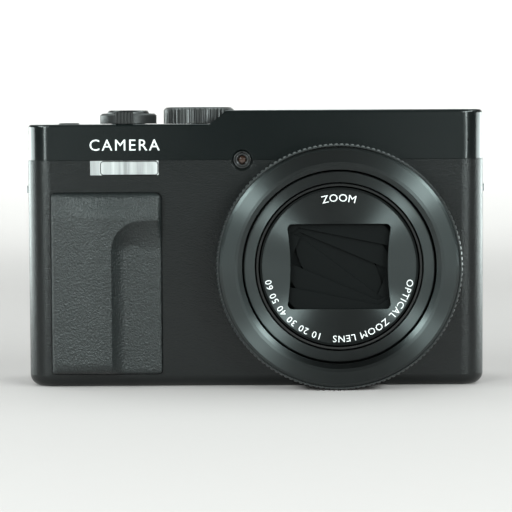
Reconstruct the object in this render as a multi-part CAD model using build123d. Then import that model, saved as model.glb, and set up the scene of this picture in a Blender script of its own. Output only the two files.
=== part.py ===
from build123d import *
import math
import os

# Compact zoom camera. Millimetres, +Z up, the lens looks along -Y, and +X is the lens side.
# The origin is under the middle of the camera, on the surface it stands on.

# Driving dimensions
HALF_WIDTH = 56.0
BODY_FRONT = -10.2
BODY_REAR = 18.0
BODY_CORNER = 5.8
BOTTOM_ROUND = 2.8
WALL = 1.4
SEAM_Z = 55.5
DECK_Z = 64.3
HUMP_Z = 67.6
COVER_INSET = 0.2
PARTING_Y = 6.0
GAP = 0.1
RUNNING = 0.06

LENS_X = 20.0
LENS_Z = 29.8
SLEEVE_R = 26.9
BORE_R = 23.4
TRIM_R = 28.9
TRIM_FRONT = -20.8
RING_R = 29.62
RING_TEETH = 144
TOOTH_DEPTH = 0.34
BARREL_FRONT = -18.6
NAME_RING_R = 18.6

BLADE_R = 17.9
BLADE_THICK = 0.22
BLADE_PITCH = 0.32
BLADE_FRONT = -16.7
BLADE_PIN = (15.2, -7.0)
BLADE_PIN_R = 0.4
BLADE_SETS = (("outer", 11.5, -1.5), ("middle", 23.0, -3.7), ("inner", 36.8, -3.7))
APERTURE_HALF_W = 12.65
APERTURE_HALF_H = 10.3

DIAL_X = -14.12
DIAL_Y = 3.0
DIAL_R = 8.75
DIAL_TOP = 68.45
LEVER_X = -31.45
LEVER_Y = -1.0
SHUTTER_TOP = 67.7

GRIP = (-50.1, -22.9, 3.1, 47.7)
GRIP_RIDGE_Y = -14.4
FLASH = (-40.4, -23.55, 51.8, 55.4)
FOCUS_LAMP_X = -3.25

SCREEN = (-22.4, 50.2, 3.2, 52.2)
SCREEN_FRONT = 14.6
SCREEN_REAR = 19.2
HINGE_Z = 53.9
HINGE_PIN_R = 0.6

EYEPIECE_X = 36.5
EYEPIECE_Z = 61.0
DIOPTRE_X = 49.6
REAR_DIAL_X = -38.0
REAR_DIAL_Z = 24.0

DOOR = (-50.0, -20.9, -4.5, 12.5)
DOOR_HINGE_X = -20.9
DOOR_HINGE_Z = 0.75
DOOR_EDGE_R = 0.65
DOOR_PIN_R = 0.4
TRIPOD = (-9.4, 4.0)
TRIPOD_HOLE_R = 2.55
TRIPOD_DEPTH = 5.0
PORT_DOOR = (-4.0, 5.4, 33.0, 47.0)
PORT_HINGE = (55.4, 4.7)
PORT_EDGE_R = 0.6
PORT_PIN_R = 0.35
STRAP_Z = 48.3

PARTS = {}


def block(x0, x1, y0, y1, z0, z1):
    """A box between two opposite corners."""
    return Pos((x0 + x1) / 2, (y0 + y1) / 2, (z0 + z1) / 2) * Box(x1 - x0, y1 - y0, z1 - z0)


def upright(radius, x, y, z0, z1):
    """A cylinder standing along Z."""
    return Pos(x, y, (z0 + z1) / 2) * Cylinder(radius, z1 - z0)


def forward(radius, x, z, y0, y1):
    """A cylinder lying along Y, the way the lens looks."""
    return Pos(x, (y0 + y1) / 2, z) * Rot(90, 0, 0) * Cylinder(radius, y1 - y0)


def sideways(radius, y, z, x0, x1):
    """A cylinder lying along X."""
    return Pos((x0 + x1) / 2, y, z) * Rot(0, 90, 0) * Cylinder(radius, x1 - x0)


def turned(points, x=LENS_X, z=LENS_Z):
    """A solid turned about a Y axis, from (radius, y) corners."""
    outline = make_face(Polyline(*points, close=True))
    return Pos(x, 0, z) * revolve(outline, Axis.Y)


def turned_up(points, x, y):
    """A solid turned about a Z axis, from (radius, z) corners."""
    outline = make_face(Polyline(*[(r, 0, z) for r, z in points], close=True))
    return Pos(x, y, 0) * revolve(outline, Axis.Z)


def plan_prism(inset, z0, z1):
    """The body's rounded plan, inset all round, between two heights."""
    width = 2 * (HALF_WIDTH - inset)
    depth = BODY_REAR - BODY_FRONT - 2 * inset
    plan = RectangleRounded(width, depth, BODY_CORNER - inset)
    return Pos(0, (BODY_FRONT + BODY_REAR) / 2, z0) * extrude(plan, z1 - z0)


def panel(x0, x1, z0, z1, y0, y1, radius):
    """A plate facing the front or rear, with rounded corners."""
    face = RectangleRounded(x1 - x0, z1 - z0, radius)
    return Pos((x0 + x1) / 2, y1, (z0 + z1) / 2) * Rot(90, 0, 0) * extrude(face, y1 - y0)


def toothed(count, crest, root, thickness):
    """A disc with a ribbed edge, lying on Z = 0."""
    points = []
    for tooth in range(count):
        for share, radius in ((0.1, root), (0.3, crest), (0.7, crest), (0.9, root)):
            angle = 2 * math.pi * (tooth + share) / count
            points.append((radius * math.cos(angle), radius * math.sin(angle)))
    return extrude(make_face(Polyline(*points, close=True)), thickness)


def keep(name, *solids):
    """Files the solids of one node."""
    PARTS[name] = Compound(children=[one for shape in solids for one in shape.solids()])


# Casings

def lower_shell():
    outer = plan_prism(0, 0, SEAM_Z)
    outer = fillet(outer.edges().group_by(Axis.Z)[0], BOTTOM_ROUND)
    inner = plan_prism(WALL, WALL, SEAM_Z)
    return outer - inner - bottom_opening()


def bottom_opening():
    return plate_prism(0, 0, WALL)


def plate_prism(inset, z0, z1):
    face = RectangleRounded(104 - 2 * inset, 21 - 2 * inset, 3 - inset)
    return Pos(0, 4, z0) * extrude(face, z1 - z0)


def front_cover():
    half = block(-60, 60, BODY_FRONT - 1, PARTING_Y - GAP / 2, -1, SEAM_Z)
    seat = turned([(SLEEVE_R, -11.1), (28.9, -11.1), (29.1, -10.9), (29.1, BODY_FRONT), (SLEEVE_R, BODY_FRONT)])
    shell = (lower_shell() & half) + seat - forward(SLEEVE_R + GAP, LENS_X, LENS_Z, -12, -8)
    shell -= panel(*GRIP, BODY_FRONT, BODY_FRONT + 0.7, 1.2)
    shell -= block(FLASH[0], FLASH[1], BODY_FRONT, BODY_FRONT + WALL, FLASH[2], SEAM_Z)
    shell -= lamp_pocket()
    shell -= side_openings()
    return shell - port_pins(PORT_PIN_R + RUNNING, 1.2)


def lamp_pocket():
    depth = BODY_FRONT + COVER_INSET
    flare = turned(
        [(0, depth - 1), (3.4, depth - 1), (2.55, depth), (2.1, depth + 0.5), (0, depth + 0.5)],
        FOCUS_LAMP_X, SEAM_Z)
    return flare + forward(2.1, FOCUS_LAMP_X, SEAM_Z, depth, depth + 2)


def side_openings():
    y0, y1, z0, z1 = PORT_DOOR
    port = block(50, 60, y0, y1, z0, z1)
    left = block(-60, -50, -2.6, 5.2, 43.4, 53.3)
    right = block(50, 60, -2.6, 5.2, z1 + 0.3, 53.3)
    return port + left + right


def rear_cover():
    half = block(-60, 60, PARTING_Y + GAP / 2, BODY_REAR + 3, -1, SEAM_Z)
    x0, x1, z0, z1 = SCREEN
    shell = lower_shell() & half
    well = block(x0 - 1.6, 53.0, 13.0, BODY_REAR - 0.5, WALL + 0.1, SEAM_Z) & plan_prism(0.5, 0, SEAM_Z)
    shell += well
    shell -= panel(x0 - 0.3, x1 + 0.3, z0 - 0.3, z1 + 0.3, SCREEN_FRONT - 0.3, BODY_REAR + 1, 1.3)
    for x in hinge_places():
        shell -= block(x - 3.2, x + 3.2, 16.7, BODY_REAR + 1, z1 - 1, SEAM_Z)
    shell += forward(12.4, REAR_DIAL_X, REAR_DIAL_Z, BODY_REAR - 2.0, BODY_REAR) & plan_prism(0, 0, 50)
    shell -= forward(10.8, REAR_DIAL_X, REAR_DIAL_Z, BODY_REAR - 1.2, BODY_REAR + 1)
    shell -= forward(4.86, REAR_DIAL_X, REAR_DIAL_Z, BODY_REAR - 3, BODY_REAR + 1)
    for x, z in rear_buttons().values():
        shell -= forward(2.3, x, z, BODY_REAR - 3, BODY_REAR + 1)
    shell -= rear_led_hole()
    return shell


def rear_led_hole():
    return forward(0.6, -26.2, 44.5, BODY_REAR - 2, BODY_REAR + 1)


def hinge_places():
    return (-12.0, 40.0)


def rear_buttons():
    return {
        "play_button": (-45.0, 39.6),
        "burst_button": (-31.0, 39.6),
        "display_button": (-45.0, 8.4),
        "erase_button": (-31.0, 8.4),
    }


def hump_block(bottom):
    """The raised half of the top, with its sloping left end."""
    foot, crest = -11.0, -6.85
    run = (DECK_Z - bottom) * (crest - foot) / (HUMP_Z - DECK_Z)
    points = [(foot - run, bottom), (crest, HUMP_Z), (60, HUMP_Z), (60, bottom)]
    end = make_face(Polyline(*[(x, 0, z) for x, z in points], close=True))
    return extrude(end, 50, both=True)


def top_cover():
    outer = plan_prism(COVER_INSET, SEAM_Z + 0.05, DECK_Z)
    hump = plan_prism(COVER_INSET, DECK_Z - 1, HUMP_Z) & hump_block(DECK_Z - 1)
    hump = fillet(hump.edges().group_by(Axis.Z)[-1], 0.8)
    deck_edges = outer.edges().group_by(Axis.Z)[-1]
    outer = fillet(deck_edges, 0.6)
    shell = outer + hump
    inner = plan_prism(WALL, SEAM_Z - 1, DECK_Z - 1.3)
    inner += plan_prism(WALL, DECK_Z - 2, HUMP_Z - 1.3) & block(-3.5, 60, -20, 30, 50, 70)
    shell -= inner
    shell -= upright(DIAL_R + 0.5, DIAL_X, DIAL_Y, DECK_Z, HUMP_Z + 1)
    shell -= upright(2.0 + RUNNING, DIAL_X, DIAL_Y, 60, DECK_Z + 1)
    shell -= upright(4.2 + RUNNING, LEVER_X, LEVER_Y, 60, DECK_Z + 1)
    for x, y, radius in top_buttons().values():
        shell -= upright(radius + 0.15, x, y, 60, DECK_Z + 1)
    shell -= lamp_pocket()
    shell -= forward(SLEEVE_R + GAP, LENS_X, LENS_Z, -12, -8)
    shell -= forward(0.25, 51.9, 60.0, -12, -8)
    for x in (8.0, 14.0):
        for step in range(3):
            shell -= upright(0.4, x + 1.4 * step, 2.0, HUMP_Z - 2, HUMP_Z + 1)
    return shell - eyepiece_openings()


def eyepiece_openings():
    cut = panel(EYEPIECE_X - 9.6, EYEPIECE_X + 9.6, EYEPIECE_Z - 5.2, EYEPIECE_Z + 5.2, 14, 20, 1.6)
    cut += forward(2.9, DIOPTRE_X, EYEPIECE_Z, 14, 20)
    cut += forward(2.05, 21.5, EYEPIECE_Z, 14, 20)
    return cut


def top_buttons():
    return {"power_button": (-46.6, 4.0, 2.6), "movie_button": (-41.0, 11.2, 1.9)}


def bottom_plate():
    x0, x1, y0, y1 = DOOR
    plate = plate_prism(GAP / 2, 0, WALL)
    plate -= block(x0 - GAP, x1 + DOOR_EDGE_R + GAP, y0 - GAP, y1 + GAP, -1, 3)
    plate -= forward(DOOR_PIN_R + RUNNING, DOOR_HINGE_X, DOOR_HINGE_Z, y0 - 1.2, y1 + 1.2)
    plate -= upright(4.5 + GAP, *TRIPOD, -1, 3)
    for x, y in screw_places():
        plate -= upright(1.1, x, y, -1, 3)
        plate -= upright(1.75, x, y, -1, 0.6)
    for place in range(7):
        plate -= block(24 + 1.6 * place, 24.8 + 1.6 * place, 8.5, 12, -1, 3)
    return plate


def screw_places():
    return ((-14.0, -4.0), (-14.0, 12.0), (48.0, -4.0), (48.0, 12.0))


# Grip, thumb rest, flash and lamp

def grip_pad():
    x0, x1, z0, z1 = GRIP
    base = panel(x0 + GAP, x1 - GAP, z0 + GAP, z1 - GAP, BODY_FRONT - 0.8, BODY_FRONT + 0.7, 1.1)
    base = fillet(base.edges().group_by(Axis.Y)[0], 0.5)
    bend = -35.3
    high = 41.6
    outline = Polyline((x0 + 0.7, z0 + 0.7), (bend + 1.2, z0 + 0.7), (bend + 1.2, high - 6.0),
                       (bend + 6.0, high), (x1 - 0.7, high + 1.2), (x1 - 0.7, z1 - 0.7),
                       (x0 + 0.7, z1 - 0.7), close=True)
    face = fillet(make_face(outline).vertices(), 1.1)
    height = BODY_FRONT - 0.8 - GRIP_RIDGE_Y
    ridge = Pos(0, BODY_FRONT - 0.7, 0) * Rot(90, 0, 0) * extrude(face, height, taper=20)
    return base + ridge


def thumb_rest():
    pad = panel(-49.0, -28.0, 45.0, 53.4, BODY_REAR, BODY_REAR + 1.2, 2.0)
    return fillet(pad.edges().group_by(Axis.Y)[-1], 0.6)


def flash_window():
    x0, x1, z0, z1 = FLASH
    return block(x0 + GAP, x1 - GAP, BODY_FRONT, BODY_FRONT + 1.2, z0 + GAP, z1)


def flash_reflector():
    x0, x1, z0, z1 = (FLASH[0] + 2.6, FLASH[1] - 0.2, 51.9, 55.3)
    trough = block(x0, x1, -8.9, -4.6, z0, z1)
    throat = make_face(Polyline((0, -8.9, 52.1), (0, -8.9, 55.1), (0, -5.0, 54.2), (0, -5.0, 53.0), close=True))
    hollow = Pos((x0 + x1) / 2, 0, 0) * extrude(throat, (x1 - x0) / 2 - 0.3, both=True)
    return trough - hollow - sideways(0.5, -6.4, 53.6, x0 - 1, x1 + 1)


def flash_tube():
    return sideways(0.45, -6.4, 53.6, FLASH[0] + 1.4, FLASH[1] + 1.0)


def focus_lamp():
    front = BODY_FRONT + COVER_INSET
    return turned([(0, front + 0.55), (0.7, front + 0.7), (1.0, front + 1.0), (1.0, front + 2.4), (0, front + 2.4)],
                  FOCUS_LAMP_X, SEAM_Z)


def lamp_bezel():
    front = BODY_FRONT + COVER_INSET
    return turned([(1.05, front + 0.5), (1.3, front + 0.2), (1.55, front + 0.2), (1.7, front + 0.5),
                   (1.85, front + 0.15), (2.05, front + 0.15), (2.05, front + 1.9), (1.05, front + 1.9)],
                  FOCUS_LAMP_X, SEAM_Z)


# Lens

def lens_sleeve():
    return turned([(BORE_R, -19.1), (SLEEVE_R, -19.1), (SLEEVE_R, -8.8), (28.1, -8.8), (28.1, -7.2),
                   (25.2, -7.2), (25.2, 5.0), (BORE_R, 5.0)])


def trim_ring():
    lip = TRIM_FRONT + 0.08
    return turned([(24.45, lip), (25.2, TRIM_FRONT), (28.1, TRIM_FRONT + 0.28), (TRIM_R, TRIM_FRONT + 0.95),
                   (TRIM_R, -19.15), (BORE_R, -19.15), (BORE_R, lip + 0.9)])


def control_ring():
    front, rear = -20.0, -11.3
    ring = toothed(RING_TEETH, RING_R, RING_R - TOOTH_DEPTH, rear - front)
    ring = Pos(LENS_X, rear, LENS_Z) * Rot(90, 0, 0) * ring
    ring = ring & turned([(0, front), (RING_R - 0.3, front), (RING_R, front + 0.5), (RING_R, rear - 0.5),
                          (RING_R - 0.3, rear), (0, rear)])
    ring -= forward(SLEEVE_R + RUNNING, LENS_X, LENS_Z, front - 1, rear + 1)
    return ring - forward(TRIM_R + 0.12, LENS_X, LENS_Z, front - 1, -18.9)


def barrel_1():
    return turned([(20.35, BARREL_FRONT), (22.8, BARREL_FRONT), (23.0, BARREL_FRONT + 0.2), (23.0, 4.0),
                   (22.1, 4.0), (22.1, BARREL_FRONT + 1.1), (20.35, BARREL_FRONT + 1.1)])


def barrel_2():
    front = BARREL_FRONT + 0.25
    return turned([(19.45, front), (19.9, front), (20.05, front + 0.2), (20.05, 1.4), (21.75, 1.4), (21.75, 3.4),
                   (19.45, 3.4)])


def barrel_3():
    front = BARREL_FRONT + 0.4
    tube = turned([(NAME_RING_R + 0.02, front), (19.05, front), (19.05, 2.6), (18.25, 2.6), (18.25, front + 0.9),
                   (NAME_RING_R + 0.02, front + 0.9)])
    mask_y = BLADE_FRONT + 6 * BLADE_PITCH + 0.1
    mask = turned([(9.0, mask_y), (18.6, mask_y), (18.6, mask_y + 0.8), (9.0, mask_y + 0.8)])
    shape = tube + mask
    for sign in (1, -1):
        x = LENS_X + sign * BLADE_PIN[0]
        z = LENS_Z + sign * BLADE_PIN[1]
        shape += forward(BLADE_PIN_R, x, z, BLADE_FRONT - 0.1, mask_y + 0.2)
    return shape


def aperture_outline():
    """The four-sided front opening: its sides bow inward at mid height."""
    half_w, half_h = APERTURE_HALF_W, APERTURE_HALF_H
    waist = half_w - 0.9
    right = ThreePointArc((half_w, -half_h), (waist, 0), (half_w, half_h))
    left = ThreePointArc((-half_w, half_h), (-waist, 0), (-half_w, -half_h))
    top = Line((half_w, half_h), (-half_w, half_h))
    bottom = Line((-half_w, -half_h), (half_w, -half_h))
    return fillet(make_face([right, top, left, bottom]).vertices(), 1.2)


def name_ring():
    front = BARREL_FRONT + 0.55
    back = BLADE_FRONT - 0.1
    dish = turned([(0, front + 0.4), (11, front + 0.4), (NAME_RING_R - 0.4, front), (NAME_RING_R, front),
                   (NAME_RING_R, front + 0.75), (18.1, front + 0.75), (18.1, back), (0, back)])
    opening = Pos(LENS_X, 0, LENS_Z) * Rot(90, 0, 0) * extrude(aperture_outline(), 30, both=True)
    return dish - opening


def blade_outline(low_left):
    """One barrier blade, drawn open, about the lens axis: it lies outside the opening, low down."""
    disc = Circle(BLADE_R) - Rectangle(25.8, 20.9)
    right = Pos(10, -7 - 10) * Rectangle(20, 20)
    left = Pos(-10, low_left - 10) * Rectangle(20, 20)
    shape = disc & (right + left)
    web = make_face(Polyline((10.2, -10.5), (13.2, -7.45), (13.2, -10.5), close=True))
    lobe = Pos(*BLADE_PIN) * Circle(1.15)
    hole = Pos(*BLADE_PIN) * Circle(BLADE_PIN_R + 0.05)
    return shape + web + lobe - hole


def barrier_blade(order, side, turn, low_left):
    """A closed blade: its open outline swung about its pin by the given turn."""
    x, z = BLADE_PIN
    swung = Pos(x, z) * Rot(0, 0, -turn) * Pos(-x, -z) * blade_outline(low_left)
    if side == "upper":
        swung = Rot(0, 0, 180) * swung
    back = BLADE_FRONT + order * BLADE_PITCH + BLADE_THICK
    return Pos(LENS_X, back, LENS_Z) * Rot(90, 0, 0) * extrude(swung, BLADE_THICK)


def barrier_blades():
    order = 0
    for name, turn, low_left in BLADE_SETS:
        for side in ("lower", "upper"):
            keep(f"barrier_blade_{side}_{name}", barrier_blade(order, side, turn, low_left))
            order += 1


def lens_disc(radius, y0, y1, bulge):
    """A biconvex element: a disc between two spherical faces."""
    curve = (radius ** 2 + bulge ** 2) / (2 * bulge)
    front = Pos(LENS_X, y0 + curve, LENS_Z) * Sphere(curve)
    back = Pos(LENS_X, y1 - curve, LENS_Z) * Sphere(curve)
    return forward(radius, LENS_X, LENS_Z, y0, y1) & front & back


def front_element():
    return lens_disc(10.4, -13.8, -9.9, 1.2)


def front_cell():
    return turned([(10.45, -13.8), (17.6, -13.8), (18.2, -13.1), (18.2, -9.5), (9.4, -9.5), (9.4, -10.4),
                   (10.45, -10.8)])


def inner_group():
    cell = turned([(7.2, -8.6), (10.0, -8.6), (10.0, -1.0), (7.2, -1.0)])
    flange = turned([(10.0, -2.4), (18.2, -2.4), (18.2, -1.2), (10.0, -1.2)])
    return cell + flange


def inner_elements():
    return lens_disc(7.15, -8.2, -5.6, 0.8), lens_disc(7.15, -4.6, -1.8, 0.7)


def lens_base():
    plate = turned([(8.0, 5.0), (26.5, 5.0), (26.5, 6.4), (8.0, 6.4)])
    plate += block(LENS_X - 11, LENS_X + 11, 6.4, 8.0, LENS_Z - 9, LENS_Z + 9)
    return plate - block(LENS_X - 5.5, LENS_X + 5.5, 4, 9, LENS_Z - 4.5, LENS_Z + 4.5)


def image_sensor():
    return block(LENS_X - 5.4, LENS_X + 5.4, 6.8, 7.8, LENS_Z - 4.4, LENS_Z + 4.4)


def zoom_motor():
    can = forward(4.2, -11.5, 45.0, -7.6, 3.6)
    return can + forward(0.7, -11.5, 45.0, 3.6, 7.6) + forward(1.6, -11.5, 45.0, -8.2, -7.6)


# Inside the body

def main_board():
    board = block(-18, 52, 8.8, 9.8, 6.5, 54.0)
    board -= block(40, 60, 8, 11, 30, 54.1)
    for x, z, wide, tall in ((0, 30, 12, 12), (16, 44, 9, 7), (18, 20, 10, 8), (34, 14, 7, 9)):
        board += block(x, x + wide, 9.8, 10.9, z - tall / 2, z + tall / 2)
    return board


def battery_box():
    box = block(-50.4, -19.6, -6.2, 11.6, 3.2, 45.8)
    box -= block(-49.6, -20.4, -5.4, 5.0, 3.1, 45.0)
    return box - block(-47.4, -22.6, 6.6, 9.4, 3.1, 31.0)


def battery():
    pack = block(-49.4, -20.6, -5.2, 4.8, 3.2, 44.6)
    return fillet(pack.edges().filter_by(Axis.Z), 2.0)


def memory_card():
    return block(-47.0, -23.0, 6.9, 9.0, 3.2, 30.6)


def tripod_socket():
    socket = upright(4.5, *TRIPOD, 0, 6.4) + upright(6.2, *TRIPOD, WALL + 0.1, 2.6)
    return socket - upright(TRIPOD_HOLE_R, *TRIPOD, -0.1, TRIPOD_DEPTH)


def case_screws():
    screws = []
    for x, y in screw_places():
        screw = upright(1.65, x, y, 0.05, 0.6) + upright(0.9, x, y, 0.6, 4.2)
        slot = block(x - 1.1, x + 1.1, y - 0.2, y + 0.2, -0.1, 0.35)
        cross = block(x - 0.2, x + 0.2, y - 1.1, y + 1.1, -0.1, 0.35)
        screws.append(screw - slot - cross)
    return screws


def strap_lugs():
    lugs = []
    for sign in (-1, 1):
        bar = block(54.2, 56.9, -1.4, 4.0, STRAP_Z - 0.9, STRAP_Z + 0.9)
        bar -= block(54.9, 56.0, -0.4, 3.0, STRAP_Z - 2, STRAP_Z + 2)
        bar = fillet(bar.edges().filter_by(Axis.Z).group_by(Axis.X)[-1], 0.6)
        if sign < 0:
            bar = mirror(bar, Plane.YZ)
        lugs.append(bar)
    return lugs


def side_plates():
    plates = []
    for sign, low in ((-1, 43.5), (1, 47.4)):
        plate = block(53.4, 55.9, -2.5, 5.1, low, 53.2)
        plate -= block(54.2, 57, -1.5, 4.1, max(low - 0.1, STRAP_Z - 2.6), STRAP_Z + 2.6)
        if sign < 0:
            plate = mirror(plate, Plane.YZ)
        plates.append(plate)
    return plates


def socket(y0, y1, z0, z1):
    """An open-ended connector shell with its contact tongue, opening towards +X."""
    shell = block(47.5, 53.6, y0, y1, z0, z1) - block(48.2, 54, y0 + 0.3, y1 - 0.3, z0 + 0.3, z1 - 0.3)
    middle = (y0 + y1) / 2
    return shell + block(48.2, 52.6, middle - 0.3, middle + 0.3, z0 + 1.2, z1 - 1.2)


def io_sockets():
    return socket(-0.6, 2.2, 34.4, 38.6), socket(-1.0, 2.6, 40.4, 46.0)


def port_cover():
    y0, y1, z0, z1 = PORT_DOOR
    hinge_x, hinge_y = PORT_HINGE
    door = block(hinge_x - PORT_EDGE_R, hinge_x + PORT_EDGE_R, y0 + GAP, hinge_y, z0 + GAP, z1 - GAP)
    door += upright(PORT_EDGE_R, hinge_x, hinge_y, z0 + GAP, z1 - GAP) + port_pins(PORT_PIN_R, 0.9)
    finger_nick = block(55.6, 57, y0 + 0.4, y0 + 1.3, 38.5, 41.5)
    return door - finger_nick


def port_pins(radius, reach):
    """The cover's hinge pins, below and above it."""
    z0, z1 = PORT_DOOR[2:]
    lower = upright(radius, *PORT_HINGE, z0 - reach, z0 + 0.5)
    upper = upright(radius, *PORT_HINGE, z1 - 0.5, z1 + 0.25)
    return lower + upper


def battery_door():
    x0, x1, y0, y1 = DOOR
    door = block(x0, x1, y0, y1, 0.1, WALL)
    door += forward(DOOR_EDGE_R, DOOR_HINGE_X, DOOR_HINGE_Z, y0, y1)
    door += forward(DOOR_PIN_R, DOOR_HINGE_X, DOOR_HINGE_Z, y0 - 1.0, y1 + 1.0)
    return door - block(x0 + 1.6, x0 + 6.4, 0.0, 8.5, 0, 0.8)


def door_latch():
    x0 = DOOR[0]
    latch = block(x0 + 1.8, x0 + 6.2, 0.2, 5.4, 0.25, 0.7)
    for step in range(3):
        latch -= block(x0 + 2.2, x0 + 5.8, 1.2 + 1.4 * step, 1.7 + 1.4 * step, 0, 0.45)
    return latch


# Controls

def push_stem(x, z, radius, front, rear):
    """A rear push button with a rounded cap and a collar behind the cover."""
    return turned([(0, front), (radius + 0.5, front), (radius + 0.5, front + 0.5), (radius, front + 0.5),
                   (radius, rear - 0.3), (radius - 0.3, rear), (0, rear)], x, z)


def zoom_lever():
    ring = turned_up([(2.5 + RUNNING, 62.2), (4.2, 62.2), (4.2, 64.45), (7.0, 64.45), (7.0, 66.5), (6.5, 66.95),
                      (5.45, 66.95), (5.45, 65.3), (2.5 + RUNNING, 65.3)], LEVER_X, LEVER_Y)
    middle = LEVER_X - 0.5
    tab = block(middle - 2.1, middle + 2.1, LEVER_Y - 8.7, LEVER_Y - 6.2, 64.45, 67.3)
    for step in range(5):
        x = middle - 1.6 + 0.8 * step
        tab -= block(x - 0.2, x + 0.2, LEVER_Y - 9.0, LEVER_Y - 6.9, 67.0, 68)
        tab -= block(x - 0.2, x + 0.2, LEVER_Y - 9.0, LEVER_Y - 8.4, 64, 68)
    tab -= upright(5.5, LEVER_X, LEVER_Y, 65.3, 68)
    return ring + tab


def shutter_button():
    return turned_up([(0, 61.6), (2.5, 61.6), (2.5, 66.3), (5.15, 66.3), (5.15, 67.2), (4.8, SHUTTER_TOP),
                      (0, SHUTTER_TOP - 0.25)], LEVER_X, LEVER_Y)


def mode_dial():
    disc = toothed(46, DIAL_R, DIAL_R - 0.35, DIAL_TOP - DECK_Z - GAP)
    disc = Pos(DIAL_X, DIAL_Y, DECK_Z + GAP) * disc
    top = DIAL_TOP
    envelope = turned_up([(0, 64), (DIAL_R - 0.2, 64), (DIAL_R + 0.1, 64.8), (DIAL_R + 0.1, top - 0.7),
                          (DIAL_R - 0.7, top), (0, top)], DIAL_X, DIAL_Y)
    return (disc & envelope) + upright(2.0, DIAL_X, DIAL_Y, 62.2, DECK_Z + 0.4)


def power_button():
    x, y, radius = top_buttons()["power_button"]
    return turned_up([(0, 61.6), (radius + 0.5, 61.6), (radius + 0.5, 62.1), (radius, 62.1), (radius, 64.5),
                      (radius - 0.25, 64.7), (0, 64.7)], x, y)


def movie_button():
    x, y, radius = top_buttons()["movie_button"]
    return turned_up([(0, 61.6), (radius + 0.5, 61.6), (radius + 0.5, 62.1), (radius, 62.1), (radius, 64.35),
                      (0, 64.2)], x, y)


def rear_dial():
    wheel = toothed(60, 10.5, 10.2, 2.2)
    wheel = Pos(REAR_DIAL_X, BODY_REAR + 1.1, REAR_DIAL_Z) * Rot(90, 0, 0) * wheel
    return wheel - forward(5.2, REAR_DIAL_X, REAR_DIAL_Z, 10, 22)


def rear_caps():
    for name, (x, z) in rear_buttons().items():
        keep(name, push_stem(x, z, 2.2, BODY_REAR - 2.2, BODY_REAR + 0.5))
    keep("set_button", push_stem(REAR_DIAL_X, REAR_DIAL_Z, 4.8, BODY_REAR - 2.8, BODY_REAR + 0.8))
    keep("viewfinder_button", push_stem(21.5, EYEPIECE_Z, 1.9, BODY_REAR - 2.4, BODY_REAR + 0.4))


# Screen and viewfinder

def screen_frame():
    x0, x1, z0, z1 = SCREEN
    tray = panel(x0, x1, z0, z1, SCREEN_FRONT, SCREEN_REAR, 1.1)
    tray -= panel(x0 + 0.9, x1 - 0.9, z0 + 0.9, z1 - 0.9, SCREEN_REAR - 0.8, SCREEN_REAR + 1, 0.6)
    for x in hinge_places():
        arm = block(x - 3.0, x + 0.4, 17.7, SCREEN_REAR, z1 - 0.8, HINGE_Z)
        arm += sideways(1.5, SCREEN_REAR, HINGE_Z, x - 3.0, x + 0.4)
        tray += arm
        tray -= sideways(HINGE_PIN_R + RUNNING, SCREEN_REAR, HINGE_Z, x - 4, x + 1)
    return tray


def screen_glass():
    x0, x1, z0, z1 = SCREEN
    return panel(x0 + 1.0, x1 - 1.0, z0 + 1.0, z1 - 1.0, SCREEN_REAR - 0.8, SCREEN_REAR, 0.5)


def screen_brackets():
    brackets = []
    for x in hinge_places():
        lug = sideways(1.5, SCREEN_REAR, HINGE_Z, x + 0.6, x + 3.0)
        lug += block(x + 0.6, x + 3.0, 16.7, SCREEN_REAR, HINGE_Z - 0.8, HINGE_Z + 0.8)
        lug += block(x - 3.1, x + 3.0, 16.7, 17.4, HINGE_Z - 0.8, HINGE_Z + 0.8)
        lug += sideways(HINGE_PIN_R, SCREEN_REAR, HINGE_Z, x - 3.0, x + 0.6)
        brackets.append(lug)
    return brackets


def viewfinder_frame():
    x0, x1 = EYEPIECE_X - 9.5, EYEPIECE_X + 9.5
    z0, z1 = EYEPIECE_Z - 5.1, EYEPIECE_Z + 5.1
    frame = panel(x0, x1, z0, z1, 15.0, 18.8, 1.5)
    frame = fillet(frame.edges().group_by(Axis.Y)[-1], 0.6)
    frame -= panel(x0 + 4.2, x1 - 1.6, z0 + 1.4, z1 - 1.4, 16.4, 19.5, 1.0)
    frame -= panel(x0 + 5.2, x1 - 2.6, z0 + 2.2, z1 - 2.2, 14, 19.5, 0.8)
    return frame - panel(x0 + 1.0, x0 + 3.2, z0 + 2.0, z1 - 2.0, 18.2, 19.5, 0.5)


def viewfinder_lens():
    x0, x1 = EYEPIECE_X - 5.3, EYEPIECE_X + 7.9
    return panel(x0 + 0.1, x1 - 0.1, EYEPIECE_Z - 3.6, EYEPIECE_Z + 3.6, 16.4, 17.4, 0.9)


def viewfinder_tube():
    tube = block(EYEPIECE_X - 6, EYEPIECE_X + 8.6, 0.0, 14.9, EYEPIECE_Z - 4.4, EYEPIECE_Z + 4.4)
    tube -= block(EYEPIECE_X - 5, EYEPIECE_X + 7.6, 1.6, 15, EYEPIECE_Z - 3.4, EYEPIECE_Z + 3.4)
    return tube


def dioptre_wheel():
    wheel = toothed(28, 2.7, 2.5, 2.6)
    wheel = Pos(DIOPTRE_X, BODY_REAR + 0.6, EYEPIECE_Z) * Rot(90, 0, 0) * wheel
    return wheel + forward(0.8, DIOPTRE_X, EYEPIECE_Z, 13.2, 16)


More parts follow.
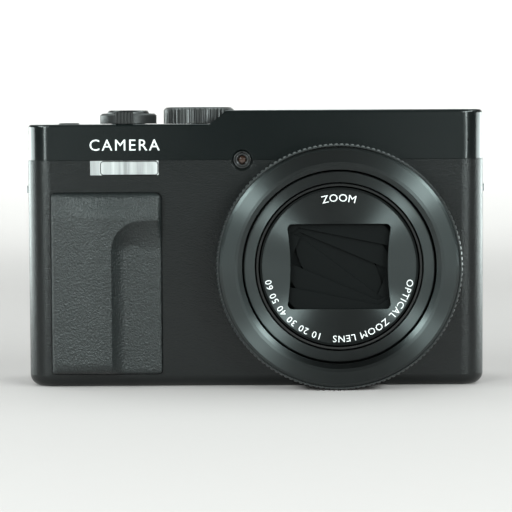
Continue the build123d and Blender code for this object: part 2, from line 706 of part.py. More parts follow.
def build():
    keep("front_cover", front_cover())
    keep("rear_cover", rear_cover())
    keep("top_cover", top_cover())
    keep("bottom_plate", bottom_plate())
    keep("grip_pad", grip_pad())
    keep("thumb_rest", thumb_rest())
    keep("flash_window", flash_window())
    keep("flash_reflector", flash_reflector())
    keep("flash_tube", flash_tube())
    keep("focus_lamp", focus_lamp())
    keep("lamp_bezel", lamp_bezel())
    keep("lens_sleeve", lens_sleeve())
    keep("trim_ring", trim_ring())
    keep("control_ring", control_ring())
    keep("barrel_1", barrel_1())
    keep("barrel_2", barrel_2())
    keep("barrel_3", barrel_3(), front_cell())
    keep("name_ring", name_ring())
    barrier_blades()
    keep("front_element", front_element())
    keep("inner_group", inner_group())
    keep("inner_elements", *inner_elements())
    keep("lens_base", lens_base())
    keep("image_sensor", image_sensor())
    keep("zoom_motor", zoom_motor())
    keep("main_board", main_board())
    keep("battery_box", battery_box())
    keep("battery", battery())
    keep("memory_card", memory_card())
    keep("tripod_socket", tripod_socket())
    keep("case_screws", *case_screws())
    keep("strap_lugs", *strap_lugs())
    keep("side_plates", *side_plates())
    keep("io_sockets", *io_sockets())
    keep("port_cover", port_cover())
    keep("battery_door", battery_door())
    keep("door_latch", door_latch())
    keep("zoom_lever", zoom_lever())
    keep("shutter_button", shutter_button())
    keep("mode_dial", mode_dial())
    keep("power_button", power_button())
    keep("movie_button", movie_button())
    keep("rear_dial", rear_dial())
    rear_caps()
    keep("screen_frame", screen_frame())
    keep("screen_glass", screen_glass())
    keep("screen_brackets", *screen_brackets())
    keep("viewfinder_frame", viewfinder_frame(), viewfinder_tube())
    keep("viewfinder_lens", viewfinder_lens())
    keep("dioptre_wheel", dioptre_wheel())


build()
os.makedirs("parts", exist_ok=True)
for name, shape in PARTS.items():
    export_step(shape, f"parts/{name}.step")
print(len(PARTS), "nodes")
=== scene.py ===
import math
import bmesh
import bpy
from mathutils import Matrix, Vector


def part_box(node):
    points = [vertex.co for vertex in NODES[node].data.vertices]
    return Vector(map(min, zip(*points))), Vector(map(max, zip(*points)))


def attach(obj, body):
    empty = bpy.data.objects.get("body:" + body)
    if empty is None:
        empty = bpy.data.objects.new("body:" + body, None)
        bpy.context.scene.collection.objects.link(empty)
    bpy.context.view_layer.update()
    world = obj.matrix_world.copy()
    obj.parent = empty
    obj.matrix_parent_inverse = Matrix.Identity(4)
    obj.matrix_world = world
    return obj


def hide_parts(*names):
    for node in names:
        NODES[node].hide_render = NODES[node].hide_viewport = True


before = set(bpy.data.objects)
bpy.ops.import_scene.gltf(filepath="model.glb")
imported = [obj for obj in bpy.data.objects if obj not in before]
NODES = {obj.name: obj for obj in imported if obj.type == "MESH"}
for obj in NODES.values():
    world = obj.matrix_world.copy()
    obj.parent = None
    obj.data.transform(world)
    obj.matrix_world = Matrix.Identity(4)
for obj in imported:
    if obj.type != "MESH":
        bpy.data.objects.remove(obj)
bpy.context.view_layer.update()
MM = 0.001


def low(node):
    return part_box(node)[0]


def high(node):
    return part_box(node)[1]


def middle(node):
    return (low(node) + high(node)) / 2


LENS = middle("trim_ring")
FACE_Y = low("flash_window").y
BAND_Y = low("top_cover").y
REAR_Y = low("thumb_rest").y
NAME_RING_Y = low("name_ring").y
NAME_RING_RIM = high("name_ring").x - LENS.x - 0.4 * MM


# Shader helpers

class Look:
    """One procedural material: its shader and the texture space it reads."""

    def __init__(self, name, color, roughness, metallic=0.0):
        self.material = bpy.data.materials.new(name)
        self.material.use_nodes = True
        self.tree = self.material.node_tree
        self.shader = self.tree.nodes["Principled BSDF"]
        self.coords = self.tree.nodes.new("ShaderNodeTexCoord")
        self.set("Base Color", (*color, 1.0))
        self.set("Roughness", roughness)
        self.set("Metallic", metallic)

    def set(self, socket, value):
        self.shader.inputs[socket].default_value = value

    def node(self, kind, **inputs):
        node = self.tree.nodes.new(kind)
        for socket, value in inputs.items():
            node.inputs[socket.replace("_", " ")].default_value = value
        return node

    def link(self, source, target):
        self.tree.links.new(source, target)

    def noise(self, scale, detail=2.0, distortion=0.0, stretch=(1, 1, 1)):
        mapping = self.node("ShaderNodeMapping", Scale=stretch)
        self.link(self.coords.outputs["Object"], mapping.inputs["Vector"])
        texture = self.node("ShaderNodeTexNoise", Scale=scale, Detail=detail, Distortion=distortion)
        self.link(mapping.outputs["Vector"], texture.inputs["Vector"])
        return texture.outputs["Fac"]

    def cells(self, scale, randomness=1.0, stretch=(1, 1, 1)):
        mapping = self.node("ShaderNodeMapping", Scale=stretch)
        self.link(self.coords.outputs["Object"], mapping.inputs["Vector"])
        texture = self.node("ShaderNodeTexVoronoi", Scale=scale, Randomness=randomness)
        texture.feature = "SMOOTH_F1"
        self.link(mapping.outputs["Vector"], texture.inputs["Vector"])
        return texture.outputs["Distance"]

    def math(self, operation, first, second):
        node = self.tree.nodes.new("ShaderNodeMath")
        node.operation = operation
        for socket, value in zip(node.inputs, (first, second)):
            if isinstance(value, (int, float)):
                socket.default_value = value
            else:
                self.link(value, socket)
        return node.outputs[0]

    def bump(self, height, depth):
        """Adds relief of the given depth, in metres, on top of any relief already there."""
        node = self.node("ShaderNodeBump", Strength=1.0, Distance=depth)
        self.link(height, node.inputs["Height"])
        before = self.shader.inputs["Normal"]
        if before.is_linked:
            self.link(before.links[0].from_socket, node.inputs["Normal"])
        self.link(node.outputs["Normal"], before)

    def soft_edges(self, radius):
        """Sharp corners catch light as if they were rounded off by the radius."""
        node = self.node("ShaderNodeBevel", Radius=radius)
        node.samples = 4
        self.link(node.outputs["Normal"], self.shader.inputs["Normal"])

    def ramp(self, factor, stops):
        node = self.tree.nodes.new("ShaderNodeValToRGB")
        elements = node.color_ramp.elements
        while len(elements) < len(stops):
            elements.new(0.5)
        for element, (place, color) in zip(elements, stops):
            element.position = place
            element.color = (*color, 1.0)
        self.link(factor, node.inputs["Fac"])
        return node.outputs["Color"]

    def vary_color(self, factor, stops):
        self.link(self.ramp(factor, stops), self.shader.inputs["Base Color"])

    def vary_roughness(self, factor, least, most):
        node = self.node("ShaderNodeMapRange", To_Min=least, To_Max=most)
        self.link(factor, node.inputs["Value"])
        self.link(node.outputs["Result"], self.shader.inputs["Roughness"])

    def outside_box(self, centre, half):
        """How far a point lies outside a box seen from the front, across and up."""
        split = self.tree.nodes.new("ShaderNodeSeparateXYZ")
        self.link(self.coords.outputs["Object"], split.inputs[0])
        squares = []
        for axis, place, reach in (("X", centre.x, half.x), ("Z", centre.z, half.z)):
            away = self.math("ABSOLUTE", self.math("SUBTRACT", split.outputs[axis], place), 0)
            beyond = self.math("MAXIMUM", self.math("SUBTRACT", away, reach), 0)
            squares.append(self.math("POWER", beyond, 2))
        return self.math("SQRT", self.math("ADD", *squares), 0)

    def turned(self):
        """Fine lathe marks that run round the lens axis."""
        tangent = self.tree.nodes.new("ShaderNodeTangent")
        tangent.direction_type = "RADIAL"
        tangent.axis = "Y"
        self.set("Anisotropic", 1.0)
        self.set("Anisotropic Rotation", 0.25)
        self.link(tangent.outputs["Tangent"], self.shader.inputs["Tangent"])


def grey(level, cool=0.0):
    """A neutral colour, or one that leans towards blue-green."""
    return (level * (1 - cool), level, level)


def body_plastic():
    look = Look("body_plastic", grey(0.020), 0.25)
    look.set("Specular IOR Level", 0.38)
    look.soft_edges(0.12 * MM)
    look.bump(look.noise(3000, 3.0), 0.07 * MM)
    look.vary_color(look.noise(4200, 1.0), [(0.3, grey(0.0035, 0.14)), (0.7, grey(0.009, 0.14))])
    look.vary_roughness(look.noise(60, 2.0), 0.22, 0.28)
    return look.material


def top_satin():
    look = Look("top_satin", grey(0.005, 0.35), 0.19)
    look.soft_edges(0.15 * MM)
    look.bump(look.noise(9000, 2.0), 0.004 * MM)
    look.vary_roughness(look.noise(45, 3.0), 0.17, 0.22)
    return look.material


def grip_rubber():
    look = Look("grip_rubber", grey(0.05), 0.5)
    wrinkle = look.noise(2400, 2.5, 0.4, (1.0, 1.0, 0.95))
    pebble = look.cells(2500, 1.0, (1.0, 1.0, 0.9))
    look.bump(wrinkle, 0.19 * MM)
    look.bump(pebble, 0.11 * MM)
    # The colour follows the wrinkles' height: the tops are painted lighter and the hollows darker, a
    # painted highlight and painted shade of the grain.
    look.vary_color(wrinkle, [(0.36, grey(0.006, 0.2)), (0.62, grey(0.016, 0.2))])
    look.vary_roughness(wrinkle, 0.48, 0.34)
    return look.material


RING_ROUGHNESS = 0.37


def ring_metal(name, level):
    look = Look(name, grey(level, 0.10), RING_ROUGHNESS, 1.0)
    look.turned()
    look.vary_roughness(look.noise(300, 3.0), RING_ROUGHNESS * 0.92, RING_ROUGHNESS * 1.1)
    return look.material


def control_ring_look():
    look = Look("control_ring_look", grey(0.020, 0.1), 0.30)
    look.soft_edges(0.05 * MM)
    look.bump(look.noise(6000, 2.0), 0.01 * MM)
    return look.material


def barrel_plastic():
    look = Look("barrel_plastic", grey(0.008), 0.25)
    look.bump(look.noise(4000, 2.0), 0.01 * MM)
    return look.material


def blade_paint():
    look = Look("blade_paint", grey(0.0055, 0.12), 0.5)
    look.set("Specular IOR Level", 0.06)
    look.soft_edges(0.03 * MM)
    look.bump(look.noise(7000, 2.0), 0.006 * MM)
    look.vary_roughness(look.noise(220, 2.0), 0.46, 0.56)
    return look.material


def glass(name, color, coat=0.0):
    look = Look(name, color, 0.03)
    look.set("Transmission Weight", 1.0)
    look.set("IOR", 1.5)
    look.set("Coat Weight", coat)
    look.vary_roughness(look.noise(80, 2.0), 0.02, 0.05)
    return look.material


def lamp_glass():
    look = Look("lamp_glass", (0.10, 0.035, 0.02), 0.12)
    look.set("Coat Weight", 0.35)
    look.set("Coat Roughness", 0.03)
    look.vary_color(look.noise(900, 2.0), [(0.3, (0.022, 0.012, 0.009)), (0.7, (0.055, 0.028, 0.02))])
    return look.material


FLASH_LIT_CORNER = 0.75 * MM
FLASH_LINE_INSET = 0.05 * MM
FLASH_LINE_HALF = 0.11 * MM


def flash_prism():
    """Milky ribbed flash lens: upright streaks, and a dark line round the lit part's rounded edge."""
    look = Look("flash_prism", grey(0.85), 0.22)
    look.set("Transmission Weight", 0.12)
    look.set("Coat Weight", 0.5)
    look.set("Coat Roughness", 0.05)
    lowest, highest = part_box("flash_reflector")
    half = (highest - lowest) / 2 - Vector((FLASH_LIT_CORNER, 0, FLASH_LIT_CORNER))
    outside = look.outside_box((lowest + highest) / 2, half)
    from_edge = look.math("SUBTRACT", outside, FLASH_LIT_CORNER - FLASH_LINE_INSET)
    off_line = look.math("GREATER_THAN", look.math("ABSOLUTE", from_edge, 0), FLASH_LINE_HALF)
    streaks = look.noise(700, 3.0, 0.0, (1.0, 0.0, 0.04))
    tone = look.ramp(streaks, [(0.35, grey(0.30)), (0.65, grey(0.60))])
    mix = look.tree.nodes.new("ShaderNodeMix")
    mix.data_type = "RGBA"
    mix.inputs["A"].default_value = (0.02, 0.02, 0.02, 1)
    look.link(off_line, mix.inputs["Factor"])
    look.link(tone, mix.inputs["B"])
    look.link(mix.outputs["Result"], look.shader.inputs["Base Color"])
    look.bump(streaks, 0.15 * MM)
    return look.material


SCREEN_MARGIN = Vector((3.4, 0, 2.6)) * MM


def screen_glass():
    """Black cover glass with the display area showing slightly lighter."""
    look = Look("screen_glass_look", grey(0.004), 0.05)
    look.set("Coat Weight", 1.0)
    look.set("Coat Roughness", 0.02)
    lowest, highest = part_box("screen_glass")
    outside = look.outside_box((lowest + highest) / 2, (highest - lowest) / 2 - SCREEN_MARGIN)
    display = look.math("LESS_THAN", outside, 0.001 * MM)
    look.vary_color(display, [(0.0, grey(0.004)), (1.0, (0.012, 0.014, 0.018))])
    return look.material


def metal(name, level, roughness, stretch=(1, 1, 1)):
    look = Look(name, grey(level), roughness, 1.0)
    look.soft_edges(0.06 * MM)
    look.bump(look.noise(2500, 3.0, 0.0, stretch), 0.008 * MM)
    look.vary_roughness(look.noise(900, 2.0, 0.0, stretch), roughness * 0.85, roughness * 1.2)
    return look.material


def plastic(name, color, roughness, relief=0.012):
    look = Look(name, color, roughness)
    look.soft_edges(0.08 * MM)
    look.bump(look.noise(5000, 2.0), relief * MM)
    look.vary_roughness(look.noise(120, 2.0), roughness * 0.93, roughness * 1.08)
    return look.material


def board_look():
    look = Look("board_look", (0.012, 0.10, 0.045), 0.4)
    tracks = look.noise(420, 1.0, 2.0)
    look.vary_color(tracks, [(0.47, (0.010, 0.085, 0.040)), (0.53, (0.022, 0.14, 0.065))])
    look.bump(tracks, 0.02 * MM)
    return look.material


def white_print():
    look = Look("white_print", grey(0.82), 0.5)
    look.bump(look.noise(8000, 1.0), 0.003 * MM)
    return look.material


def red_print():
    look = Look("red_print", (0.45, 0.015, 0.012), 0.4)
    look.bump(look.noise(8000, 1.0), 0.003 * MM)
    return look.material


LOOKS = {
    "body_plastic": body_plastic(),
    "top_satin": top_satin(),
    "grip_rubber": grip_rubber(),
    "trim_metal": ring_metal("trim_metal", 0.070),
    "barrel_metal": ring_metal("barrel_metal", 0.074),
    "name_metal": ring_metal("name_metal", 0.068),
    "control_ring": control_ring_look(),
    "barrel_plastic": barrel_plastic(),
    "blade": blade_paint(),
    "lens_glass": glass("lens_coated", (0.75, 0.8, 1.0), 0.6),
    "clear": glass("clear_plastic", (0.97, 0.98, 0.98)),
    "prism": flash_prism(),
    "lamp": lamp_glass(),
    "screen": screen_glass(),
    "chrome": metal("reflector_chrome", 0.92, 0.16),
    "steel": metal("brushed_steel", 0.55, 0.32, (1, 1, 6)),
    "lug": metal("lug_steel", 0.25, 0.30),
    "black_steel": metal("black_steel", 0.05, 0.35),
    "button": plastic("button_plastic", grey(0.018), 0.36),
    "inner": plastic("inner_plastic", grey(0.022), 0.48, 0.02),
    "shutter": metal("shutter_metal", 0.13, 0.28),
    "dial": metal("dial_metal", 0.10, 0.33),
    "rubber": plastic("soft_rubber", grey(0.012), 0.6, 0.03),
    "board": board_look(),
    "battery": plastic("battery_wrap", grey(0.07), 0.5),
    "card": plastic("card_plastic", (0.03, 0.07, 0.2), 0.4),
    "white": white_print(),
    "red": red_print(),
}

NODE_LOOKS = {
    "body_plastic": ["front_cover", "rear_cover", "bottom_plate", "battery_door", "port_cover",
                     "screen_frame"],
    "top_satin": ["top_cover"],
    "grip_rubber": ["grip_pad", "thumb_rest"],
    "trim_metal": ["trim_ring"],
    "barrel_metal": ["barrel_1"],
    "name_metal": ["name_ring"],
    "control_ring": ["control_ring"],
    "barrel_plastic": ["barrel_2", "inner_group", "lens_sleeve"],
    "blade": ["barrel_3"] + [name for name in NODES if name.startswith("barrier_blade")],
    "lens_glass": ["front_element", "inner_elements", "viewfinder_lens"],
    "clear": ["flash_tube"],
    "prism": ["flash_window"],
    "lamp": ["focus_lamp"],
    "screen": ["screen_glass", "image_sensor"],
    "chrome": ["flash_reflector"],
    "steel": ["io_sockets", "tripod_socket", "zoom_motor"],
    "lug": ["strap_lugs"],
    "black_steel": ["case_screws", "screen_brackets"],
    "button": ["zoom_lever", "power_button", "movie_button", "rear_dial", "play_button", "burst_button",
               "display_button", "erase_button", "set_button", "viewfinder_button", "dioptre_wheel",
               "door_latch"],
    "inner": ["side_plates", "viewfinder_frame", "lens_base", "battery_box"],
    "shutter": ["shutter_button", "lamp_bezel"],
    "dial": ["mode_dial"],
    "board": ["main_board"],
    "battery": ["battery"],
    "card": ["memory_card"],
}


def dress_nodes():
    for look, names in NODE_LOOKS.items():
        for name in names:
            materials = NODES[name].data.materials
            materials.clear()
            materials.append(LOOKS[look])


# Mesh helpers

def mesh_object(name, vertices, faces, look):
    mesh = bpy.data.meshes.new(name)
    mesh.from_pydata([tuple(v) for v in vertices], [], faces)
    mesh.validate()
    bm = bmesh.new()
    bm.from_mesh(mesh)
    bmesh.ops.recalc_face_normals(bm, faces=bm.faces)
    bm.to_mesh(mesh)
    bm.free()
    for polygon in mesh.polygons:
        polygon.use_smooth = True
    obj = bpy.data.objects.new(name, mesh)
    bpy.context.scene.collection.objects.link(obj)
    mesh.materials.append(LOOKS[look])
    return obj


def smoothstep(low_end, high_end, value):
    share = min(1.0, max(0.0, (value - low_end) / (high_end - low_end)))
    return share * share * (3 - 2 * share)


# Grip pad: a closed shell whose front is a height field

GRIP_PROUD = 0.8 * MM
GRIP_CREST_X = 14.8 * MM
GRIP_SLOPE = 3.8 * MM
GRIP_BEND_R = 7.4 * MM
GRIP_HIGH_Z = 37.6 * MM
GRIP_ROLL = 1.6 * MM
GRIP_SMALL_CORNER = 1.2 * MM
GRIP_LARGE_CORNER = 2.0 * MM
GRIP_COLUMNS = 130
GRIP_ROWS = 210


def grip_hollow(u, v):
    """How far a point lies outside the finger hollow (negative inside), and how wide the slope down
    into the hollow is there. The hollow's edge runs up the pad, bends to the right on a wide arc, and
    leaves by the right-hand side, where its slope is gentler."""
    hollow_u = u - GRIP_CREST_X
    hollow_v = GRIP_HIGH_Z - v
    radius = GRIP_BEND_R
    if hollow_u < radius and hollow_v < radius:
        away = math.hypot(radius - hollow_u, radius - hollow_v)
        upward = (radius - hollow_v) / max(away, 0.01 * MM)
        return away - radius, GRIP_SLOPE + (radius - GRIP_SLOPE) * upward ** 2
    return -min(hollow_u, hollow_v), GRIP_SLOPE if hollow_u < hollow_v else radius


def grip_height(u, v, width, height, crest):
    """Distance of the pad's surface in front of the cover, at u across and v up from its corner."""
    edge = min(u, v, width - u, height - v)
    outside, slope = grip_hollow(u, v)
    climb = min(1.0, max(0.0, 1 + outside / slope)) ** 1.6
    swell = 0.42 + 0.58 * smoothstep(0.0, GRIP_CREST_X * 0.92, u)
    swell *= 0.55 + 0.45 * smoothstep(0.0, 6.5 * MM, height - v)
    swell *= 0.80 + 0.20 * smoothstep(0.0, 3.0 * MM, v)
    fade = 1 - 0.45 * smoothstep(GRIP_CREST_X, width, u)
    relief = GRIP_PROUD + (crest - GRIP_PROUD) * climb * swell * fade
    if edge < GRIP_ROLL:
        share = 1 - edge / GRIP_ROLL
        relief -= (relief - 0.25 * MM) * (1 - math.sqrt(max(0.0, 1 - share ** 2.6)))
    return relief


def grip_row(v, width, height):
    """Where one row of the pad starts and ends, narrowed near its rounded corners."""
    small, large = GRIP_SMALL_CORNER, GRIP_LARGE_CORNER
    starts, ends = 0.0, width
    for end_v, right_r in ((v, small), (height - v, large)):
        if end_v < small:
            starts = max(starts, small - math.sqrt(small ** 2 - (small - end_v) ** 2))
        if end_v < right_r:
            ends = min(ends, width - right_r + math.sqrt(right_r ** 2 - (right_r - end_v) ** 2))
    return starts, ends


def grip_surface(lowest, highest):
    """Points of the pad's front and, straight behind them, of its back, row by row from the bottom."""
    width = highest.x - lowest.x
    height = highest.z - lowest.z
    crest = FACE_Y - lowest.y
    front, back = [], []
    for row in range(GRIP_ROWS + 1):
        v = height * row / GRIP_ROWS
        starts, ends = grip_row(v, width, height)
        for column in range(GRIP_COLUMNS + 1):
            u = starts + (ends - starts) * column / GRIP_COLUMNS
            relief = grip_height(u, v, width, height, crest)
            front.append((lowest.x + u, FACE_Y - relief, lowest.z + v))
            back.append((lowest.x + u, highest.y, lowest.z + v))
    return front, back


def grip_faces(count):
    """Faces of the front and back sheets, of count points each, and of the wall that joins them."""
    stride = GRIP_COLUMNS + 1
    faces = []
    for row in range(GRIP_ROWS):
        for column in range(GRIP_COLUMNS):
            a = row * stride + column
            quad = (a, a + 1, a + stride + 1, a + stride)
            faces.append(quad)
            faces.append(tuple(count + i for i in reversed(quad)))
    rim = list(range(GRIP_COLUMNS))
    rim += [GRIP_COLUMNS + row * stride for row in range(GRIP_ROWS)]
    rim += [GRIP_ROWS * stride + column for column in range(GRIP_COLUMNS, 0, -1)]
    rim += [row * stride for row in range(GRIP_ROWS, 0, -1)]
    faces += [(a, b, count + b, count + a) for a, b in zip(rim, rim[1:] + rim[:1])]
    return faces


def build_grip():
    front, back = grip_surface(*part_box("grip_pad"))
    pad = mesh_object("grip_leather", front + back, grip_faces(len(front)), "grip_rubber")
    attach(pad, "housing")
    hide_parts("grip_pad")


# Lettering: flat text that a function lays onto a surface

PRINT_THICK = 0.06 * MM
STROKE_WIDTH = 0.22 * MM


def flat_text(text, size, spacing=1.0):
    """Mesh of one line of text in its own plane: x along the line, y up, centred on x."""
    curve = bpy.data.curves.new("line", "FONT")
    curve.body = text
    curve.size = size
    curve.space_character = spacing
    curve.align_x = "CENTER"
    curve.extrude = PRINT_THICK / 2
    curve.resolution_u = 3
    holder = bpy.data.objects.new("line", curve)
    bpy.context.scene.collection.objects.link(holder)
    bpy.context.view_layer.update()
    mesh = bpy.data.meshes.new_from_object(holder)
    bpy.data.objects.remove(holder)
    return mesh


def lay(name, mesh, place, look, body):
    """Moves each vertex of a flat mesh to its place in the frame, and hangs the piece on a body."""
    for vertex in mesh.vertices:
        vertex.co = place(*vertex.co)
    mesh.materials.clear()
    mesh.materials.append(LOOKS[look])
    mesh.name = name
    obj = bpy.data.objects.new(name, mesh)
    bpy.context.scene.collection.objects.link(obj)
    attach(obj, body)


def facing_front(x, z, y):
    return lambda u, v, w: Vector((x + u, y - w, z + v))


def facing_rear(x, z, y):
    return lambda u, v, w: Vector((x - u, y + w, z + v))


def facing_up(x, y, z, turn=0.0):
    cos, sin = math.cos(turn), math.sin(turn)
    return lambda u, v, w: Vector((x + u * cos - v * sin, y + u * sin + v * cos, z + w))


NAME_RING_DISH = 0.4 / 7.2


def name_ring_y(radius):
    """The dished face of the name ring, in y, at a distance from the lens axis."""
    return NAME_RING_Y + max(0.0, NAME_RING_RIM - radius) * NAME_RING_DISH


def round_lens(angle, radius):
    """Lays text round the name ring, tops outward, centred at an angle from straight up."""
    def place(u, v, w):
        distance = radius + v
        turn = angle + u / radius
        x = LENS.x + distance * math.sin(turn)
        z = LENS.z + distance * math.cos(turn)
        return Vector((x, name_ring_y(distance) - w, z))
    return place


def build_lettering():
    lay("front_word", flat_text("CAMERA", 3.9 * MM, 1.2),
        facing_front(middle("flash_window").x, low("top_cover").z + 2.35 * MM, BAND_Y),
        "white", "housing")
    lay("lens_word", flat_text("ZOOM", 2.55 * MM, 1.05),
        round_lens(0.0, 15.7 * MM), "white", "barrel_3")
    lay("lens_values", flat_text("OPTICAL ZOOM LENS   10 20 30 40 50 60", 2.25 * MM, 1.14),
        round_lens(math.pi, 16.7 * MM), "white", "barrel_3")


# Icons: strokes and discs drawn flat, then laid like the lettering

def add_bar(vertices, faces, start, end):
    """One straight stroke as a thin box."""
    along = Vector(end) - Vector(start)
    side = Vector((-along.y, along.x)).normalized() * STROKE_WIDTH / 2
    corners = [Vector(start) + side, Vector(start) - side, Vector(end) - side, Vector(end) + side]
    base = len(vertices)
    for height in (-PRINT_THICK / 2, PRINT_THICK / 2):
        vertices.extend((corner.x, corner.y, height) for corner in corners)
    faces.append((base, base + 1, base + 2, base + 3))
    faces.append((base + 7, base + 6, base + 5, base + 4))
    for i in range(4):
        j = (i + 1) % 4
        faces.append((base + i, base + 4 + i, base + 4 + j, base + j))


def strokes(lines):
    """Flat mesh of polylines given in millimetres."""
    vertices, faces = [], []
    for line in lines:
        points = [(x * MM, y * MM) for x, y in line]
        for start, end in zip(points, points[1:]):
            add_bar(vertices, faces, start, end)
    mesh = bpy.data.meshes.new("strokes")
    mesh.from_pydata(vertices, [], faces)
    return mesh


def disc(radius, steps=40):
    angles = [math.tau * i / steps for i in range(steps)]
    rim = [(radius * math.cos(angle), radius * math.sin(angle)) for angle in angles]
    vertices = [(x, y, height) for height in (-PRINT_THICK / 2, PRINT_THICK / 2) for x, y in rim]
    faces = [tuple(range(steps - 1, -1, -1)), tuple(range(steps, 2 * steps))]
    faces += [(i, (i + 1) % steps, steps + (i + 1) % steps, steps + i) for i in range(steps)]
    mesh = bpy.data.meshes.new("disc")
    mesh.from_pydata(vertices, [], faces)
    return mesh


def arc(radius, start, end, steps=18):
    """Points of a circular arc, in millimetres and degrees."""
    angles = [math.radians(start + (end - start) * i / steps) for i in range(steps + 1)]
    return [(radius * math.cos(angle), radius * math.sin(angle)) for angle in angles]


def box_line(half_w, half_h, x=0.0, y=0.0):
    return [(x - half_w, y - half_h), (x + half_w, y - half_h), (x + half_w, y + half_h),
            (x - half_w, y + half_h), (x - half_w, y - half_h)]


ICONS = {
    "power": [arc(0.95, 125, 415), [(0, 0.45), (0, 1.35)]],
    "play": [[(-0.7, -0.9), (0.9, 0), (-0.7, 0.9), (-0.7, -0.9)]],
    "burst": [box_line(0.9, 0.6, 0.3, -0.3), [(-0.9, -0.4), (-0.9, 0.9), (0.8, 0.9)]],
    "display": [box_line(1.2, 0.8), [(-0.6, -0.25), (0.6, -0.25)], [(-0.6, 0.25), (0.6, 0.25)]],
    "erase": [[(-0.9, 0.7), (0.9, 0.7)], [(-0.65, 0.7), (-0.5, -1.0), (0.5, -1.0), (0.65, 0.7)],
              [(-0.3, 0.7), (-0.3, 1.05), (0.3, 1.05), (0.3, 0.7)]],
    "timer": [arc(0.95, 0, 360), [(0, 0), (0, 0.6)], [(0, 0), (0.45, 0)]],
    "flash": [[(0.35, 1.1), (-0.4, 0.0), (0.4, 0.0), (-0.35, -1.1)]],
    "plus_minus": [[(-1.1, 0.4), (-0.1, 0.4)], [(-0.6, -0.1), (-0.6, 0.9)], [(0.2, -0.6), (1.1, -0.6)]],
    "near": [arc(0.5, 0, 360), [(0, -0.5), (0, -1.2)], arc(0.8, 200, 340)],
    "tick": [[(-0.6, 0), (0.6, 0)]],
}


def icon(name, kind, place, body):
    lay(name, strokes(ICONS[kind]), place, "white", body)


DIAL_MARKS = "A12345678"
DIAL_MARK_REACH = 5.6 * MM


def build_dial_marks():
    dial = middle("mode_dial")
    dial_top = high("mode_dial").z
    for number, mark in enumerate(DIAL_MARKS):
        angle = math.tau * number / len(DIAL_MARKS)
        x = dial.x - DIAL_MARK_REACH * math.sin(angle)
        y = dial.y + DIAL_MARK_REACH * math.cos(angle)
        lay(f"dial_mark_{mark}", flat_text(mark, 2.3 * MM), facing_up(x, y, dial_top, angle),
            "white", "mode_dial")


def build_top_marks():
    deck_z = high("power_button").z - 0.4 * MM
    index_x = low("mode_dial").x - 1.1 * MM
    icon("dial_index", "tick", facing_up(index_x, middle("mode_dial").y, deck_z), "housing")
    lever = middle("shutter_button")
    for letter, side in (("W", -1), ("T", 1)):
        lay(f"zoom_{letter}", flat_text(letter, 1.9 * MM),
            facing_up(lever.x + side * 6.6 * MM, lever.y - 7.2 * MM, deck_z),
            "white", "housing")
    power = middle("power_button")
    power_top = facing_up(power.x, power.y, high("power_button").z)
    icon("power_icon", "power", power_top, "power_button")
    movie = middle("movie_button")
    movie_top = facing_up(movie.x, movie.y, high("movie_button").z - 0.05 * MM)
    lay("movie_dot", disc(1.2 * MM), movie_top, "red", "movie_button")


REAR_MARK_REACH = 7.8 * MM


def build_rear_marks():
    for button, kind, rise in (("play_button", "play", 4.0), ("burst_button", "burst", 4.0),
                               ("display_button", "display", -4.2), ("erase_button", "erase", -4.2)):
        spot = middle(button)
        place = facing_rear(spot.x, spot.z + rise * MM, REAR_Y)
        icon(f"{kind}_icon", kind, place, "housing")
    dial = middle("rear_dial")
    face_y = high("rear_dial").y
    for kind, angle in (("plus_minus", 90), ("flash", 0), ("timer", 270), ("near", 180)):
        turn = math.radians(angle)
        x = dial.x + REAR_MARK_REACH * math.cos(turn)
        z = dial.z + REAR_MARK_REACH * math.sin(turn)
        icon(f"dial_{kind}", kind, facing_rear(x, z, face_y), "rear_dial")


# Eyecup

def rounded_loop(half_w, half_h, radius, steps=8):
    """Points round a rounded rectangle centred on the origin."""
    points = []
    for sign_x, sign_z, start in ((1, 1, 0), (-1, 1, 90), (-1, -1, 180), (1, -1, 270)):
        for step in range(steps + 1):
            angle = math.radians(start + 90 * step / steps)
            points.append((sign_x * (half_w - radius) + radius * math.cos(angle),
                           sign_z * (half_h - radius) + radius * math.sin(angle)))
    return points


EYECUP_HALF_HEIGHT = 5.1 * MM
EYECUP_CORNER = 1.9 * MM
EYECUP_PROFILE = [(-0.15, -1.4), (-0.25, -0.5), (-0.05, -0.05), (0.4, 0.2), (0.8, 0.2), (1.05, 0.0),
                  (1.05, -0.5)]


def build_eyecup():
    """A soft rim round the eyepiece. Its profile lists inset and rise over the frame, in millimetres."""
    lowest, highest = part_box("viewfinder_frame")
    centre_x = (lowest.x + highest.x) / 2
    centre_z = highest.z - EYECUP_HALF_HEIGHT
    half_w = (highest.x - lowest.x) / 2
    vertices = []
    for inset, proud in EYECUP_PROFILE:
        loop = rounded_loop(half_w - inset * MM, EYECUP_HALF_HEIGHT - inset * MM, EYECUP_CORNER)
        vertices += [(centre_x + x, highest.y + proud * MM, centre_z + z) for x, z in loop]
    count = len(vertices) // len(EYECUP_PROFILE)
    faces = []
    for ring in range(len(EYECUP_PROFILE)):
        here, there = ring * count, (ring + 1) % len(EYECUP_PROFILE) * count
        for i in range(count):
            j = (i + 1) % count
            faces.append((here + i, here + j, there + j, there + i))
    cup = mesh_object("eyecup", vertices, faces, "rubber")
    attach(cup, "housing")


build_grip()
dress_nodes()
build_lettering()
build_dial_marks()
build_top_marks()
build_rear_marks()
build_eyecup()


# Stage, lights and camera

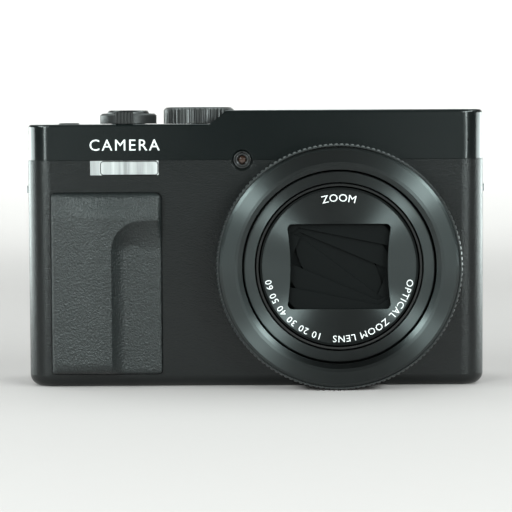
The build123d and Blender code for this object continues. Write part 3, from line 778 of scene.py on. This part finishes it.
def build_stage():
    """A pale sweep: floor that curves up into a backdrop."""
    half, near, far, bend, wall, steps = 2.5, -0.4, 0.6, 1.2, 3.0, 16
    profile = [(near, 0.0), (far, 0.0)]
    for step in range(1, steps + 1):
        angle = math.pi / 2 * step / steps
        profile.append((far + bend * math.sin(angle), bend * (1 - math.cos(angle))))
    profile.append((far + bend, bend + wall))
    vertices = [(side * half, y, z) for y, z in profile for side in (-1, 1)]
    faces = [(2 * i, 2 * i + 1, 2 * i + 3, 2 * i + 2) for i in range(len(profile) - 1)]
    LOOKS["paper"] = plastic("paper", (0.53, 0.470, 0.465), 0.9, 0.0)
    floor = mesh_object("studio_sweep", vertices, faces, "paper")


LIGHT_TINT = (0.87, 1.0, 0.985)


def area_light(name, place, aim, size, power, along=(1, 0, 0)):
    """A rectangular light facing a point, its first side running as near as it can to a direction."""
    data = bpy.data.lights.new(name, "AREA")
    data.shape = "RECTANGLE"
    data.size, data.size_y = size
    data.energy = power
    data.color = LIGHT_TINT
    light = bpy.data.objects.new(name, data)
    back = (Vector(place) - Vector(aim)).normalized()
    across = (Vector(along) - back * back.dot(Vector(along))).normalized()
    facing = Matrix((across, back.cross(across), back)).transposed()
    light.matrix_world = Matrix.Translation(place) @ facing.to_4x4()
    light.visible_camera = False
    bpy.context.scene.collection.objects.link(light)


def around(azimuth, elevation, distance):
    """A place round the object: azimuth 0 is straight in front, positive to the lens side."""
    turn, lift = math.radians(azimuth), math.radians(elevation)
    flat = distance * math.cos(lift)
    return Vector((flat * math.sin(turn), -flat * math.cos(turn), 0.03 + distance * math.sin(lift)))


def build_lights():
    target = (0, 0, 0.03)
    for side in (-1, 1):
        area_light(f"softbox_{side}", (side * 0.57, -0.55, 0.44), target, (0.9, 0.18), 8.6, (0, 1, 0))
        area_light(f"strip_{side}", around(side * 34, 5, 0.45), target, (0.035, 0.20), 0.40)
        area_light(f"fill_{side}", around(side * 10, 5, 0.9), target, (0.14, 0.40), 0.12)
        area_light(f"rim_panel_{side}", (side * 0.42, 0.2, 0.03), target, (0.45, 0.10), 1.2, (0, 1, 0))
    area_light("backdrop_wash", (0.0, 0.7, 0.8), (0, 1.5, 0.4), (2.4, 0.3), 24)
    area_light("floor_wash", (0.0, 0.5, 1.2), (0, 0.5, 0.0), (2.4, 1.0), 15)


def build_world():
    """Bright where the camera looks straight at it, and nearly dark as a source of light."""
    world = bpy.data.worlds.new("studio")
    world.use_nodes = True
    nodes, links = world.node_tree.nodes, world.node_tree.links
    background = nodes["Background"]
    background.inputs["Color"].default_value = (0.99, 1, 0.98, 1)
    seen = nodes.new("ShaderNodeLightPath")
    strength = nodes.new("ShaderNodeMapRange")
    strength.inputs["To Min"].default_value = 0.04
    strength.inputs["To Max"].default_value = 0.85
    links.new(seen.outputs["Is Camera Ray"], strength.inputs["Value"])
    links.new(strength.outputs["Result"], background.inputs["Strength"])
    bpy.context.scene.world = world


CAMERA_FOCAL_MM = 143.9
CAMERA_DISTANCE = 0.500
CAMERA_PITCH = math.radians(3.5)
CAMERA_ROLL = math.radians(-0.3)
CAMERA_AIM_Z = 0.0320


def build_camera():
    data = bpy.data.cameras.new("studio_camera")
    data.sensor_width = 36
    data.lens = CAMERA_FOCAL_MM
    data.clip_start = 0.01
    camera = bpy.data.objects.new("studio_camera", data)
    aim = Vector((0, FACE_Y, CAMERA_AIM_Z))
    back = Vector((0, -math.cos(CAMERA_PITCH), math.sin(CAMERA_PITCH)))
    camera.location = aim + back * CAMERA_DISTANCE
    upright = (-back).to_track_quat("-Z", "Y").to_matrix()
    camera.rotation_euler = (upright @ Matrix.Rotation(CAMERA_ROLL, 3, "Z")).to_euler()
    bpy.context.scene.collection.objects.link(camera)
    bpy.context.scene.camera = camera


build_stage()
build_lights()
build_world()
build_camera()
bpy.context.scene.view_settings.view_transform = "Standard"
